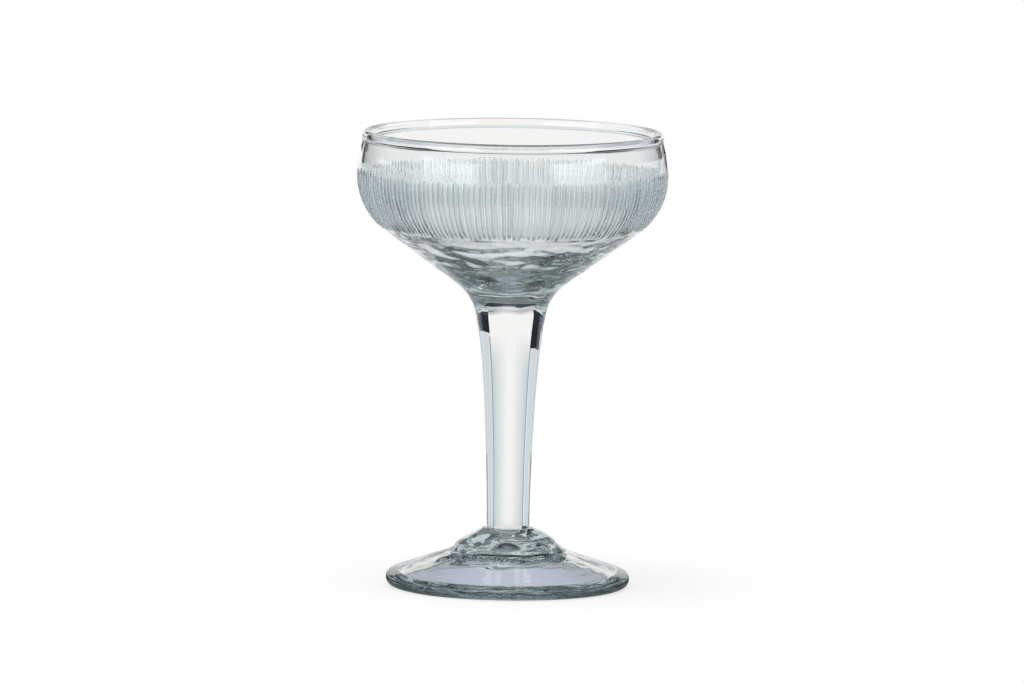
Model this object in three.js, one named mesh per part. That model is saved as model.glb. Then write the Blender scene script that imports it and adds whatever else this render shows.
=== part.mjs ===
// A hand-made champagne coupe of clear glass: a blown bowl with a fire-polished rim, a flared collar,
// a solid tapered stem, a pressed button and a low conical foot with a hollow underside.
// Each piece was a separate gather of glass, and it meets the next one face to face at a hot weld.
// Millimetres and degrees, +Z up. The origin is the centre of the circle that the glass stands on.
import * as THREE from "three";

// Foot
const FOOT_DIAMETER = 77.6;
const FOOT_EDGE = 5; // thickness of the rounded outer edge
const FOOT_HEIGHT = 11.4; // from the table to the seat of the button
const FOOT_CROWN = 4.8; // glass between the hollow underside and that seat
const REST_RING_WIDTH = 3; // flat ring that touches the table
const HOLLOW_FLAT = 24; // diameter over which the hollow's ceiling levels out

// Button between the foot and the stem
const BUTTON_DIAMETER = 37;
const BUTTON_HEIGHT = 7.4;
const BUTTON_SWELL = 0.6; // how far its side bulges past a straight cone
const BUTTON_LEDGE = 1.1; // step left around the end of the stem

// Stem
const STEM_LENGTH = 72;
const STEM_FOOT_DIAMETER = 13.6;
const STEM_HEAD_DIAMETER = 24.8;
const STEM_FLARE = 11; // how far down the flared head is drawn
const STEM_TAPER = 6; // how far up the lower end stays close to its own diameter
const FLARE_SLOPE = 64; // of the side, from level, where the stem meets the collar

// Collar between the stem and the bowl
const COLLAR_DIAMETER = 41;
const COLLAR_THICKNESS = 2.4; // from the head of the stem to the lowest point of the bowl
const COLLAR_LIP_SLOPE = 38; // of the side, from level, where the collar meets the bowl
const COLLAR_SWEEP = 4.6; // length of the two pulls that make the collar's side hollow

// Bowl
const BOWL_DIAMETER = 99; // widest, at the belly
const NOSE_RADIUS = 38; // of the rounded bottom
const FLANK_SLOPE = 36; // of the straight flank, from level
const SHOULDER_RADIUS = 22; // between the flank and the belly
const LIP_RISE = 14.1; // from the belly to the top of the rim
const RIM_DIAMETER = 96.4; // over the bead
const BOWL_WALL = 2.2;
const BOWL_FLOOR = 5; // thickness at the middle of the bottom
const INNER_SLOPE = 33; // of the inside, from level, where it leaves the shoulder
const BEAD_SWELL = 1.2; // how much thicker the rim bead is than the wall
const BEAD_OVERHANG = 0.25; // how far the bead stands out past the wall's outside

// Fineness of the faceted solids
const FACETS = 48; // around the axis
const ARC_STEP = 15; // degrees of arc in one step
const CURVE_STEPS = 6; // in a short drawn curve
const STEM_STEPS = 10;
const SEAT_STEPS = 6; // across the dished weld under the bowl
const SAME_POINT = 1e-6; // two outline points closer than this are one

// Outline points are (radius, height) in the plane that is turned about the axis.
const at = (radius, height) => new THREE.Vector2(radius, height);
const radians = THREE.MathUtils.degToRad;
const heading = (slope) => at(Math.cos(radians(slope)), Math.sin(radians(slope)));

function arc(centre, radius, fromDegrees, toDegrees) {
  const steps = Math.ceil(Math.abs(toDegrees - fromDegrees) / ARC_STEP);
  const clockwise = toDegrees < fromDegrees;
  const [from, to] = [radians(fromDegrees), radians(toDegrees)];
  return new THREE.EllipseCurve(centre.x, centre.y, radius, radius, from, to, clockwise).getPoints(steps);
}

function bend(start, control, end) {
  return new THREE.QuadraticBezierCurve(start, control, end).getPoints(CURVE_STEPS);
}

function sweep(start, startPull, endPull, end, steps) {
  return new THREE.CubicBezierCurve(start, startPull, endPull, end).getPoints(steps);
}

// Joins stretches of outline end to end and keeps a point that two of them share once.
function outlineOf(...stretches) {
  const outline = [];
  for (const point of stretches.flat()) {
    if (outline.length === 0 || outline.at(-1).distanceTo(point) > SAME_POINT) outline.push(point);
  }
  return outline;
}

// Turns an outline that runs from the axis, up the outside and back to the axis into a closed solid.
function turned(name, outline, material) {
  const geometry = new THREE.LatheGeometry(outline, FACETS);
  geometry.rotateX(Math.PI / 2);
  const piece = new THREE.Mesh(geometry, material);
  piece.name = name;
  return piece;
}

function glass(color, roughness) {
  return new THREE.MeshStandardMaterial({
    color,
    roughness,
    metalness: 0,
    transparent: true,
    opacity: 0.4,
  });
}

// Heights of the welds, stacked from the table up
const buttonSeat = FOOT_HEIGHT;
const stemFoot = buttonSeat + BUTTON_HEIGHT;
const stemHead = stemFoot + STEM_LENGTH;
const noseBottom = stemHead + COLLAR_THICKNESS;

// The bowl's outside: a round nose, a straight flank that leaves it at a tangent, and a round shoulder
// that turns the flank upright at the belly.
const noseCentre = at(0, noseBottom + NOSE_RADIUS);
const flankStart = heading(FLANK_SLOPE - 90).multiplyScalar(NOSE_RADIUS).add(noseCentre);
const shoulderReach = BOWL_DIAMETER / 2 - SHOULDER_RADIUS;
const flankEndRadius = shoulderReach + SHOULDER_RADIUS * Math.sin(radians(FLANK_SLOPE));
const shoulderCentre = at(
  shoulderReach,
  undersideHeight(flankEndRadius) + SHOULDER_RADIUS * Math.cos(radians(FLANK_SLOPE)),
);

// Height of the bowl's outside at a radius on its nose or its flank
function undersideHeight(radius) {
  if (radius > flankStart.x) {
    return flankStart.y + (radius - flankStart.x) * Math.tan(radians(FLANK_SLOPE));
  }
  return noseCentre.y - Math.sqrt(NOSE_RADIUS ** 2 - radius ** 2);
}

// The dished weld that the bowl and the collar share, from the axis out to the collar's edge
function bowlSeat() {
  return Array.from({ length: SEAT_STEPS + 1 }, (_, step) => {
    const radius = (COLLAR_DIAMETER / 2) * (step / SEAT_STEPS);
    return at(radius, undersideHeight(radius));
  });
}

function makeBowl() {
  const belly = at(BOWL_DIAMETER / 2, shoulderCentre.y);
  const innerBelly = at(belly.x - BOWL_WALL, belly.y);

  const beadRadius = (BOWL_WALL + BEAD_SWELL) / 2;
  const beadCentre = at(RIM_DIAMETER / 2 - beadRadius, belly.y + LIP_RISE - beadRadius);
  const wallOutside = beadRadius - BEAD_OVERHANG;
  const wallInside = wallOutside - BOWL_WALL;
  const beadStart = -THREE.MathUtils.radToDeg(Math.acos(wallOutside / beadRadius));
  const beadEnd = 360 - THREE.MathUtils.radToDeg(Math.acos(wallInside / beadRadius));
  const bead = arc(beadCentre, beadRadius, beadStart, beadEnd);
  const lipMiddle = (belly.y + beadCentre.y) / 2;

  const innerFlank = heading(INNER_SLOPE - 90).multiplyScalar(SHOULDER_RADIUS - BOWL_WALL).add(shoulderCentre);
  const floor = at(0, noseBottom + BOWL_FLOOR);
  const floorPull = at(innerFlank.x - (innerFlank.y - floor.y) / Math.tan(radians(INNER_SLOPE)), floor.y);

  const outline = outlineOf(
    bowlSeat(),
    COLLAR_DIAMETER / 2 < flankStart.x ? [flankStart] : [],
    arc(shoulderCentre, SHOULDER_RADIUS, FLANK_SLOPE - 90, 0),
    bend(belly, at(belly.x, lipMiddle), bead.at(0)),
    bead,
    bend(bead.at(-1), at(innerBelly.x, lipMiddle), innerBelly),
    arc(shoulderCentre, SHOULDER_RADIUS - BOWL_WALL, 0, INNER_SLOPE - 90),
    bend(innerFlank, floorPull, floor),
  );
  return turned("bowl", outline, glass(0xdfe6e8, 0.12));
}

function makeCollar() {
  const seat = bowlSeat();
  const foot = at(STEM_HEAD_DIAMETER / 2, stemHead);
  const lip = seat.at(-1);
  const footPull = heading(FLARE_SLOPE).multiplyScalar(COLLAR_SWEEP).add(foot);
  const lipPull = heading(COLLAR_LIP_SLOPE).multiplyScalar(-COLLAR_SWEEP).add(lip);
  const outline = outlineOf([at(0, stemHead)], sweep(foot, footPull, lipPull, lip, CURVE_STEPS), seat.reverse());
  return turned("bowl_collar", outline, glass(0xb9c4bd, 0.06));
}

function makeStem() {
  const foot = at(STEM_FOOT_DIAMETER / 2, stemFoot);
  const head = at(STEM_HEAD_DIAMETER / 2, stemHead);
  const footPull = at(foot.x, foot.y + STEM_TAPER);
  const headPull = heading(FLARE_SLOPE).multiplyScalar(-STEM_FLARE).add(head);
  const side = sweep(foot, footPull, headPull, head, STEM_STEPS);
  const outline = outlineOf([at(0, stemFoot)], side, [at(0, stemHead)]);
  return turned("stem", outline, glass(0xe9edf0, 0.05));
}

function makeButton() {
  const edge = at(BUTTON_DIAMETER / 2, buttonSeat);
  const top = at(STEM_FOOT_DIAMETER / 2 + BUTTON_LEDGE, stemFoot);
  const side = top.clone().sub(edge);
  const outward = at(side.y, -side.x).normalize();
  // The middle of such a curve lies half as far out as its control point.
  const control = edge.clone().lerp(top, 0.5).addScaledVector(outward, 2 * BUTTON_SWELL);
  const outline = outlineOf([at(0, buttonSeat)], bend(edge, control, top), [at(0, stemFoot)]);
  return turned("foot_button", outline, glass(0xcdd3d3, 0.06));
}

function makeFoot() {
  const edgeRadius = FOOT_EDGE / 2;
  const edgeCentre = at(FOOT_DIAMETER / 2 - edgeRadius, edgeRadius);
  const seatEdge = at(BUTTON_DIAMETER / 2, buttonSeat);
  const restInner = at(edgeCentre.x - REST_RING_WIDTH, 0);
  const ceiling = at(0, FOOT_HEIGHT - FOOT_CROWN);

  // The cone runs from the seat's edge to where it touches the round edge at a tangent.
  const toSeat = seatEdge.clone().sub(edgeCentre);
  const tangent = toSeat.angle() - Math.acos(edgeRadius / toSeat.length());
  const outline = outlineOf(
    bend(ceiling, at(HOLLOW_FLAT / 2, ceiling.y), restInner),
    arc(edgeCentre, edgeRadius, -90, THREE.MathUtils.radToDeg(tangent)),
    [seatEdge, at(0, buttonSeat)],
  );
  return turned("foot", outline, glass(0xc9ccd8, 0.06));
}

const champagneGlass = new THREE.Group();
champagneGlass.add(makeBowl(), makeCollar(), makeStem(), makeButton(), makeFoot());

export default champagneGlass;
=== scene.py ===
"""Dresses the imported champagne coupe: five pieces of hand-worked clear glass, one with an etched band."""
import math
from typing import NamedTuple

import bpy
import numpy as np
from mathutils import Matrix, Vector


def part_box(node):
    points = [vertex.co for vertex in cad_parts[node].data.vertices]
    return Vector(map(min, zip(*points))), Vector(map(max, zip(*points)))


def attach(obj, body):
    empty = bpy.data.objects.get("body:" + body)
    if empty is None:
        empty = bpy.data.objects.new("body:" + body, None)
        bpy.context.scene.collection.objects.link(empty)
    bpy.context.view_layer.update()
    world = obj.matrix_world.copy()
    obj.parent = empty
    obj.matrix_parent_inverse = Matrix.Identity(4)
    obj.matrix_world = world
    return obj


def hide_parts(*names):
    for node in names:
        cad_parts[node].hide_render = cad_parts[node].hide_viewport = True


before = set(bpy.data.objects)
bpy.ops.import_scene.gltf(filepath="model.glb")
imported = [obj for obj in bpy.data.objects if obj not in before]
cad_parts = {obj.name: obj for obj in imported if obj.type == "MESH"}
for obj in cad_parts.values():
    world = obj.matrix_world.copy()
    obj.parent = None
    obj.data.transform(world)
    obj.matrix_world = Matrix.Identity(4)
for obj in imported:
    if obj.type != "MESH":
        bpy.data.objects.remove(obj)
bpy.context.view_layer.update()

bl_info = {
    "name": "Etched champagne coupe",
    "version": (1, 0, 0),
    "blender": (4, 5, 0),
    "location": "3D View > Sidebar > Coupe",
    "description": "Makes a hand-blown champagne coupe with an etched band, and the set it stands on",
    "category": "Object",
}

BODY = "root"
BOWL_LOW, BOWL_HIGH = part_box("bowl")
COLLAR_LOW, COLLAR_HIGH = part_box("bowl_collar")
STEM_LOW, STEM_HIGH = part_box("stem")
BUTTON_LOW, BUTTON_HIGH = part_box("foot_button")
FOOT_LOW, FOOT_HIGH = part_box("foot")

# Fineness of the turned meshes
STROKES = 176  # etched strokes around the bowl
COLUMNS = 2 * STROKES  # around the axis, outside the etched band
STROKE_DEPTHS = (0.0, 0.35, 0.85, 1.0, 0.85, 0.35)  # of the cut, at the columns across one stroke
STROKE_FACES = (1, 2, 2, 2, 1, 0)  # between those columns: 2 mid cut, 1 at its sides, 0 beside it
BAND_MARGIN = 0.0004  # how far the finer columns run on past the strokes
WELD_OVERLAP = 0.00003  # how far two welded pieces run into each other
WELD_FADE = 0.003  # over which a surface settles into the weld
SAME_POINT = 1e-7
SHARP_FOLD = math.radians(45)  # a steeper fold is shaded as an edge

# What hand work left on the glass
WOBBLE_SIZE = 0.045  # width of the slow swells that put a piece out of round
WELD_REACH = 0.004  # height over which the wave of a weld dies away
WELD_WAVES = 150.0  # of a wavy weld, per metre
WELD_SEED = 2.0
DEPTH_RANGE = (0.7, 1.3)  # of the strokes, as shares of the depth that is set
TONE_RANGE = (0.4, 1.0)  # of the strokes, from the deepest tone to the palest
LEAN_RANGE = (-0.15, 0.15)  # of whole strokes, as shares of the lean that is set
WANDER = (0.37, 0.0, 160.0)  # how fast the strokes wander, from one to the next and per metre of height
WANDER_SEED = 3.0
CORD_WIDTH = 0.0025  # of the faint streaks in the glass
CORD_DEPTH = 0.0002
FROST_GRAIN = 1 / 1800  # width of one grain in the etched strokes
FROST_STRENGTH = 0.4
FROST_DEPTH = 0.0001
PALEST_GRAIN = 1.5  # sum of tone and grain at which the frost is roughest


class Surface(NamedTuple):
    """How the surface of a piece came out, its lengths in metres"""

    width: float  # of a ripple, around and outwards
    height: float  # of a ripple
    detail: float  # how broken up the ripples are
    wobble: float  # how far the piece is out of round
    seed: float
    cords: float  # strength of the faint streaks in the glass
    cord_height: float


BOWL_SURFACE = Surface(0.010, 0.0028, detail=1.5, wobble=0.0003, seed=3.0, cords=0.03, cord_height=0.0012)
COLLAR_SURFACE = Surface(0.006, 0.002, detail=0.0, wobble=0.0002, seed=5.0, cords=0.03, cord_height=0.001)
STEM_SURFACE = Surface(0.006, 0.02, detail=0.5, wobble=0.0003, seed=9.0, cords=0.02, cord_height=0.02)
BUTTON_SURFACE = Surface(0.016, 0.005, detail=0.0, wobble=0.0002, seed=11.0, cords=0.01, cord_height=0.002)
FOOT_SURFACE = Surface(0.012, 0.0012, detail=0.3, wobble=0.0003, seed=13.0, cords=0.01, cord_height=0.0008)


def length(name, text, default):
    return bpy.props.FloatProperty(
        name=name, description=text, default=default, min=0.0, unit="LENGTH", precision=5
    )


def angle(name, text, degrees):
    return bpy.props.FloatProperty(
        name=name, description=text, default=math.radians(degrees), unit="ROTATION"
    )


def share(name, text, default, most=1.0):
    return bpy.props.FloatProperty(
        name=name, description=text, default=default, min=0.0, max=most, subtype="FACTOR"
    )


def number(name, text, default):
    return bpy.props.FloatProperty(name=name, description=text, default=default)


def count(name, text, default):
    return bpy.props.IntProperty(name=name, description=text, default=default, min=0)


def colour(name, text, default):
    return bpy.props.FloatVectorProperty(
        name=name, description=text, default=default, size=3, subtype="COLOR", min=0.0, max=1.0
    )


class BowlSizes(bpy.types.PropertyGroup):
    """Sizes of the blown bowl"""

    diameter: length("Diameter", "Widest, at the belly", 2 * BOWL_HIGH.x)
    bottom: length("Bottom", "Height of the lowest point", BOWL_LOW.z)
    rim_top: length("Rim top", "Height of the top of the rim", BOWL_HIGH.z)
    nose_radius: length("Nose radius", "Radius of the rounded bottom", 0.038)
    flank_slope: angle("Flank slope", "Slope of the straight flank, from level", 36)
    shoulder_radius: length("Shoulder radius", "Radius between the flank and the belly", 0.022)
    rim_diameter: length("Rim diameter", "Across the outside of the bead", 0.0964)
    wall: length("Wall", "Thickness of the wall", 0.0022)
    floor: length("Floor", "Thickness at the middle of the bottom", 0.005)
    inner_slope: angle("Inner slope", "Slope of the inside where it leaves the shoulder", 33)
    bead_swell: length("Bead swell", "How much thicker the rim bead is than the wall", 0.0012)
    bead_overhang: length("Bead overhang", "How far the bead stands out past the wall", 0.00025)
    floor_ripple: length("Floor ripple", "Depth of the ripples on the inside of the bottom", 0.0009)
    ripple_start: share("Ripple start", "Share of the way in over which those ripples set in", 0.12)
    flank_ripple: length("Flank ripple", "Depth of the ripples on the outside of the flank", 0.00025)
    wall_ripple: length("Wall ripple", "Depth of the ripples on the thin wall", 0.00002)


class EtchSizes(bpy.types.PropertyGroup):
    """Sizes of the etched strokes on the outside of the bowl"""

    bottom: length("Bottom", "Height of the lowest stroke ends", 0.1144)
    top: length("Top", "Height of the highest stroke ends", 0.1338)
    depth: length("Depth", "Depth of a stroke", 0.00022)
    ragged: length("Ragged ends", "How much the strokes differ in length at one end", 0.0010)
    fade: length("Fade", "Length over which a stroke runs out", 0.0012)
    taper: length("Taper", "How much sooner a stroke ends at its sides than in its middle", 0.0008)
    lean: angle("Lean", "How far a stroke wanders sideways", 0.75)
    seed: count("Seed", "Start of the random strokes", 7)


class CollarSizes(bpy.types.PropertyGroup):
    """Sizes of the flared bit under the bowl"""

    diameter: length("Diameter", "Across the lip", 2 * COLLAR_HIGH.x)
    lip_slope: angle("Lip slope", "Slope of the side where it meets the bowl", 38)
    sweep: length("Sweep", "Length of the two pulls that make the side hollow", 0.0046)
    ripple: length("Ripple", "Depth of the ripples", 0.00002)


class StemSizes(bpy.types.PropertyGroup):
    """Sizes of the drawn stem"""

    foot: length("Foot", "Height of the lower end", STEM_LOW.z)
    head: length("Head", "Height of the upper end", STEM_HIGH.z)
    foot_diameter: length("Foot diameter", "Across the lower end", 0.0136)
    head_diameter: length("Head diameter", "Across the upper end", 2 * STEM_HIGH.x)
    flare: length("Flare", "How far down the flared head is drawn", 0.011)
    taper: length("Taper", "How far up the lower end stays near its own diameter", 0.006)
    flare_slope: angle("Flare slope", "Slope of the side at the head, from level", 64)
    ripple: length("Ripple", "Depth of the ripples", 0.00005)
    weld_wave: length("Weld wave", "Rise and fall of the weld at the head", 0.0016)


class ButtonSizes(bpy.types.PropertyGroup):
    """Sizes of the swirled bit between the stem and the foot"""

    diameter: length("Diameter", "Across the bottom", 2 * BUTTON_HIGH.x)
    swell: length("Swell", "How far the side bulges past a straight cone", 0.0006)
    ledge: length("Ledge", "Step around the end of the stem", 0.0011)
    ripple: length("Ripple", "Depth of the swirls", 0.0007)
    swirl: number("Swirl", "Turns of the swirl per metre of height", 10.0)


class FootSizes(bpy.types.PropertyGroup):
    """Sizes of the conical foot"""

    diameter: length("Diameter", "Across the edge", 2 * FOOT_HIGH.x)
    height: length("Height", "From the table to the seat of the button", FOOT_HIGH.z)
    edge: length("Edge", "Thickness of the rounded edge", 0.005)
    crown: length("Crown", "Glass between the hollow underside and the seat", 0.0048)
    rest_ring: length("Rest ring", "Width of the flat ring on the table", 0.003)
    hollow_slope: angle("Hollow slope", "Slope of the hollow's side, from level", 21)
    hollow_round: length("Hollow round", "How far the hollow's side rounds into its ceiling", 0.006)
    mark: length("Mark", "Depth of the rough mark that the rod left in the middle of the hollow", 0.0012)
    ripple: length("Ripple", "Depth of the ripples", 0.00006)
    edge_ripple: length("Edge ripple", "Depth of the ripples on the rounded edge", 0.0000075)
    weld_wave: length("Weld wave", "Rise and fall of the weld under the button", 0.0012)


class GlassFinish(bpy.types.PropertyGroup):
    """Finish of the glass"""

    ior: number("Refraction", "Index of refraction", 1.5)
    tint: colour("Tint", "Colour of the clear glass", (0.97, 0.988, 0.988))
    bottom_tint: colour("Bottom tint", "Colour of the bowl's thick bottom", (0.78, 0.815, 0.815))
    bottom_low: length("Bottom tint's full height", "Below this height the bottom has that colour", 0.101)
    bottom_high: length("Bottom tint's end", "Above this height the bowl has the plain tint", 0.112)
    thick: colour("Thick", "Colour that thick glass turns to", (0.74, 0.785, 0.79))
    thick_foot: number("Thick foot", "How fast the foot takes on that colour, per metre", 48.0)
    thick_button: number("Thick button", "How fast the button takes on that colour, per metre", 16.0)
    thick_collar: number("Thick collar", "How fast the collar takes on that colour, per metre", 120.0)
    frost: colour("Frost", "Colour of the palest etched strokes", (0.99, 1.0, 1.0))
    # The dark end of the strokes' colour is partly each stroke's own random tone and partly painted shade,
    # since the sides of every cut take it.
    frost_dark_tone_and_shade: colour("Deep frost", "Colour of the deepest etched strokes", (0.38, 0.49, 0.54))
    frost_roughness: share("Frost roughness", "Roughness of the etched glass", 0.22)
    frost_range: share("Frost range", "How much that roughness differs from stroke to stroke", 0.12)
    polished: share("Polished strokes", "How near to the palest tone a stroke came out clear", 0.03)
    frost_clearness: share("Frost clearness", "How much light goes on through the etched glass", 0.95)


class StageSettings(bpy.types.PropertyGroup):
    """Camera and set"""

    distance: length("Distance", "From the camera to what it looks at", 3.5)
    focal: number("Focal length", "Of the lens, in millimetres", 386.6)
    elevation: angle("Elevation", "Of the camera above the horizon", 6.38)
    roll: angle("Roll", "Turn of the camera about its line of sight", 0.76)
    aim_x: length("Aim sideways", "Point the camera looks at", 0.00048)
    aim_z: length("Aim height", "Point the camera looks at", 0.07825)
    floor: colour("Floor", "Colour of the floor", (0.92, 0.92, 0.92))
    white: colour("White card", "Middle of the card behind the glass", (1.0, 0.985, 0.97))
    white_edge: colour("White card's edge", "Edges of the card behind the glass", (0.62, 0.66, 0.69))
    even_above: length("Even above", "Height above which that card is white up to its edges", 0.115)
    shaded_below: length("Shaded below", "Height below which that card's edges are fully shaded", 0.055)
    table: colour("Table", "Table that shows through the glass at its sides", (0.72, 0.77, 0.80))
    near_light: share("Near light", "Share of its light that the table keeps close to the foot", 0.24)
    shade_start: length("Shade start", "Distance from the axis up to which it keeps that share", 0.05)
    shade_end: length("Shade end", "Distance from the axis at which that shade has ended", 0.20)
    under: colour("Under the foot", "Shaded table under the foot", (0.67, 0.69, 0.79))
    edge_shade: colour("Edge shade", "Shade on the table under the foot's edge", (0.22, 0.25, 0.255))
    side: colour("Side", "Walls of the room at the sides", (0.11, 0.125, 0.13))
    pale: colour("Pale", "Pale strips and soft boxes at the sides", (0.85, 0.88, 0.90))
    line: colour("Line", "Edge of the card behind the glass", (0.30, 0.33, 0.35))
    dark: colour("Dark", "Unlit room at the sides", (0.012, 0.015, 0.02))
    front: colour("Front", "Room on the camera's side", (0.05, 0.056, 0.06))
    front_light: number("Front light", "Strength of the two soft lights beside the camera", 2.2)
    bounces: count("Bounces", "How often light may turn inside the glass", 24)
    card_angle: angle("Card angle", "Half the angle that the card behind the glass covers", 29)


class CoupeSettings(bpy.types.PropertyGroup):
    """Everything that can be changed on the coupe"""

    bowl: bpy.props.PointerProperty(type=BowlSizes)
    etch: bpy.props.PointerProperty(type=EtchSizes)
    collar: bpy.props.PointerProperty(type=CollarSizes)
    stem: bpy.props.PointerProperty(type=StemSizes)
    button: bpy.props.PointerProperty(type=ButtonSizes)
    foot: bpy.props.PointerProperty(type=FootSizes)
    glass: bpy.props.PointerProperty(type=GlassFinish)
    stage: bpy.props.PointerProperty(type=StageSettings)


# Outlines, as points of radius and height


def arc(centre, radius, start, end, steps):
    turns = np.linspace(start, end, steps + 1)
    return np.column_stack((centre[0] + radius * np.cos(turns), centre[1] + radius * np.sin(turns)))


def line(start, end, steps):
    along = np.linspace(0, 1, steps + 1)[:, None]
    return (1 - along) * np.array(start) + along * np.array(end)


def bend(start, pull, end, steps):
    t = np.linspace(0, 1, steps + 1)[:, None]
    start, pull, end = np.array(start), np.array(pull), np.array(end)
    return (1 - t) ** 2 * start + 2 * t * (1 - t) * pull + t**2 * end


def sweep(start, start_pull, end_pull, end, steps):
    t = np.linspace(0, 1, steps + 1)[:, None]
    start, start_pull = np.array(start), np.array(start_pull)
    end_pull, end = np.array(end_pull), np.array(end)
    low = (1 - t) ** 3 * start + 3 * t * (1 - t) ** 2 * start_pull
    return low + 3 * t**2 * (1 - t) * end_pull + t**3 * end


def heading(slope):
    return np.array((math.cos(slope), math.sin(slope)))


def smooth(values):
    values = np.clip(values, 0, 1)
    return values * values * (3 - 2 * values)


class Outline:
    """Outline of a turned piece, from the axis round its outside and back to the axis"""

    def __init__(self):
        self.points = []
        self.ripple = []
        self.fineness = []
        self.weld = []
        self.fine = []

    def add(self, points, ripple=0.0, weld=False, fine=False, fineness=1.0):
        for point, depth in zip(points, np.broadcast_to(ripple, len(points))):
            if self.points and np.hypot(*(self.points[-1] - point)) < SAME_POINT:
                self.fine[-1] = self.fine[-1] or fine
                continue
            self.points.append(np.array(point))
            self.ripple.append(depth)
            self.fineness.append(fineness)
            self.weld.append(weld)
            self.fine.append(fine)

    def freedom(self):
        """How far each point is free to move: not at all in a weld, fully a little away from it"""
        points = np.array(self.points)
        steps = np.hypot(*np.diff(points, axis=0).T)
        along = np.concatenate(([0], np.cumsum(steps)))
        welded = [i for i, weld in enumerate(self.weld) if weld]
        welded += [i - 1 for i in welded if i > 0]
        if not welded:
            return np.ones(len(points))
        nearest = np.abs(along[:, None] - along[welded][None, :]).min(axis=1)
        return smooth(nearest / WELD_FADE)


def ring_angles(fine):
    steps = STROKES * len(STROKE_DEPTHS) if fine else COLUMNS
    return np.arange(steps) * 2 * math.pi / steps


def row_faces(low, high):
    """Faces between two rings of vertex numbers, of which one may be finer or a single point"""
    if len(low) == 1:
        return [(low[0], high[(j + 1) % len(high)], high[j]) for j in range(len(high))]
    if len(high) == 1:
        return [(low[j], low[(j + 1) % len(low)], high[0]) for j in range(len(low))]
    if len(low) == len(high):
        n = len(low)
        return [(low[j], low[(j + 1) % n], high[(j + 1) % n], high[j]) for j in range(n)]
    fine, coarse = (low, high) if len(low) > len(high) else (high, low)
    ratio = len(fine) // len(coarse)
    middle = (ratio + 1) // 2
    faces = []
    for j in range(len(coarse)):
        first, second = coarse[j], coarse[(j + 1) % len(coarse)]
        run = [fine[(ratio * j + a) % len(fine)] for a in range(ratio + 1)]
        for a in range(ratio):
            faces.append((run[a], run[a + 1], first if a < middle else second))
        faces.append((run[middle], second, first))
    return faces if fine is low else [face[::-1] for face in faces]


def turn(name, outline):
    """Turns an outline about the axis into a closed mesh, with attributes for what works its surface"""
    places, ripple, fineness, stroke, across = [], [], [], [], []
    faces, groove = [], []
    rings = []
    amounts = np.array(outline.ripple) * outline.freedom()
    for i, (radius, height) in enumerate(outline.points):
        start = len(places)
        if radius < SAME_POINT:
            places.append((0.0, 0.0, height))
            stroke.append(-1)
            across.append(0.0)
        else:
            turns = ring_angles(outline.fine[i])
            for t in turns:
                places.append((radius * math.cos(t), radius * math.sin(t), height))
            if outline.fine[i]:
                stroke += [j // len(STROKE_DEPTHS) for j in range(len(turns))]
                across += STROKE_DEPTHS * STROKES
            else:
                stroke += [-1] * len(turns)
                across += [0.0] * len(turns)
        ring = list(range(start, len(places)))
        ripple += [amounts[i]] * len(ring)
        fineness += [outline.fineness[i]] * len(ring)
        if rings:
            new = row_faces(rings[-1], ring)
            faces += new
            both_fine = outline.fine[i] and outline.fine[i - 1]
            groove += [both_fine * STROKE_FACES[j % len(STROKE_FACES)] for j in range(len(new))]
        rings.append(ring)
    mesh = bpy.data.meshes.new(name)
    mesh.from_pydata(places, [], faces)
    for title, kind, domain, values in (
        ("ripple", "FLOAT", "POINT", ripple),
        ("fineness", "FLOAT", "POINT", fineness),
        ("across", "FLOAT", "POINT", across),
        ("stroke", "INT", "POINT", stroke),
        ("groove", "INT", "FACE", groove),
    ):
        mesh.attributes.new(title, kind, domain).data.foreach_set("value", values)
    mesh.polygons.foreach_set("use_smooth", [True] * len(faces))
    piece = bpy.data.objects.new(name, mesh)
    bpy.context.scene.collection.objects.link(piece)
    return piece


# Nodes


def opaque(shade):
    return (*shade, 1.0)


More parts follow.
